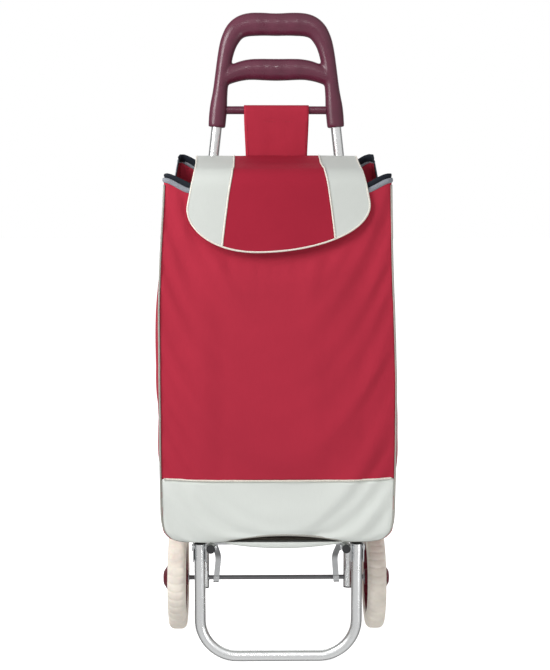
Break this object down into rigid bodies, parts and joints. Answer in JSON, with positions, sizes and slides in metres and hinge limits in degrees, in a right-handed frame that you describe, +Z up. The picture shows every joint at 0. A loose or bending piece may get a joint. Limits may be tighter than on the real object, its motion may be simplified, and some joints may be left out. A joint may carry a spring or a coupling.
{
  "type": "shopping trolley",
  "caption": "Two-wheeled pull-along shopping trolley: bent tube frame, double-grip handle, fabric bag with a flap, and a folding platform and foot.",
  "frame": {"origin": "on the floor, under the middle of the whole object's box", "axes": "+Z up, the longest extent; the bag's front faces -Y, across the shortest extent; +X to the right seen from the front"},
  "size_m": [0.358, 0.286, 0.9641],
  "materials": {
    "chrome_tube": "bright chrome plate on steel tube",
    "bright_steel": "zinc-plated pressed steel, satin",
    "axle_steel": "dark plain steel rod",
    "handle_plastic": "burgundy moulded plastic, semi-gloss with a fine grain",
    "black_plastic": "black moulded plastic",
    "hub_plastic": "burgundy moulded hub and cap",
    "tyre_foam": "cream foam tyre, matt, with a shallow moulded tread",
    "red_fabric": "crimson coated polyester, fine plain weave",
    "grey_fabric": "pale grey coated polyester, fine plain weave",
    "black_fabric": "black lining cloth",
    "piping": "grey-cream corded piping and binding tape",
    "webbing": "black polypropylene webbing",
    "board": "stiff dark grey board",
    "hook_and_loop": "black hook-and-loop tape"
  },
  "bodies": {
    "frame": {"upright_left": "chrome_tube", "upright_right": "chrome_tube", "upright_end_plugs": "black_plastic", "back_brace": "bright_steel", "brace_rivets": "bright_steel", "handle_moulding": "handle_plastic", "hanger_bar": "handle_plastic", "axle": "axle_steel", "axle_washers": "bright_steel", "axle_push_nuts": "bright_steel", "platform_pivot_rivets": "bright_steel", "platform_pivot_washers": "black_plastic", "bag_front_panel": "red_fabric", "bag_rear_panel": "red_fabric", "bag_side_left": "red_fabric", "bag_side_right": "red_fabric", "bag_base_panel": "grey_fabric", "base_board": "board", "bag_front_band": "grey_fabric", "bag_collar": "black_fabric", "rim_binding": "piping", "bag_piping": "piping", "closure_loop_patch": "hook_and_loop", "bag_loops": "webbing", "hanging_strap": "red_fabric"},
    "platform": {"platform_tube_left": "chrome_tube", "platform_tube_right": "chrome_tube", "platform_cross_bars": "bright_steel", "platform_end_plugs": "black_plastic", "hook_strap_left": "bright_steel", "hook_strap_right": "bright_steel", "hook_rivets": "bright_steel", "leg_bracket_left": "bright_steel", "leg_bracket_right": "bright_steel", "foot_pivot_rivets": "bright_steel"},
    "foot": {"foot_tube": "chrome_tube", "foot_top_plugs": "black_plastic"},
    "flap": {"flap": "red_fabric", "closure_hook_patch": "hook_and_loop"},
    "wheel_left": {"tyre_left": "tyre_foam", "hub_left": "hub_plastic", "hub_cap_left": "hub_plastic"},
    "wheel_right": {"tyre_right": "tyre_foam", "hub_right": "hub_plastic", "hub_cap_right": "hub_plastic"}
  },
  "joints": [
    {"name": "wheel_left_spin", "type": "hinge", "parent": "frame", "child": "wheel_left", "pos_m": [-0.155, 0.063, 0.08], "axis": [1, 0, 0], "continuous": true},
    {"name": "wheel_right_spin", "type": "hinge", "parent": "frame", "child": "wheel_right", "pos_m": [0.155, 0.063, 0.08], "axis": [1, 0, 0], "continuous": true},
    {"name": "platform_fold", "type": "hinge", "parent": "frame", "child": "platform", "pos_m": [0, 0.063, 0.172], "axis": [-1, 0, 0], "range_deg": [0, 84], "deforming": ["bag_front_panel", "bag_rear_panel", "bag_side_left", "bag_side_right", "bag_base_panel", "base_board", "bag_front_band", "bag_piping"]},
    {"name": "foot_fold", "type": "hinge", "parent": "platform", "child": "foot", "pos_m": [0, -0.122, 0.172], "axis": [-1, 0, 0], "range_deg": [0, 90]},
    {"name": "flap_open", "type": "hinge", "parent": "frame", "child": "flap", "pos_m": [0, 0.0515, 0.745], "axis": [-1, 0, 0], "range_deg": [0, 85]}
  ]
}
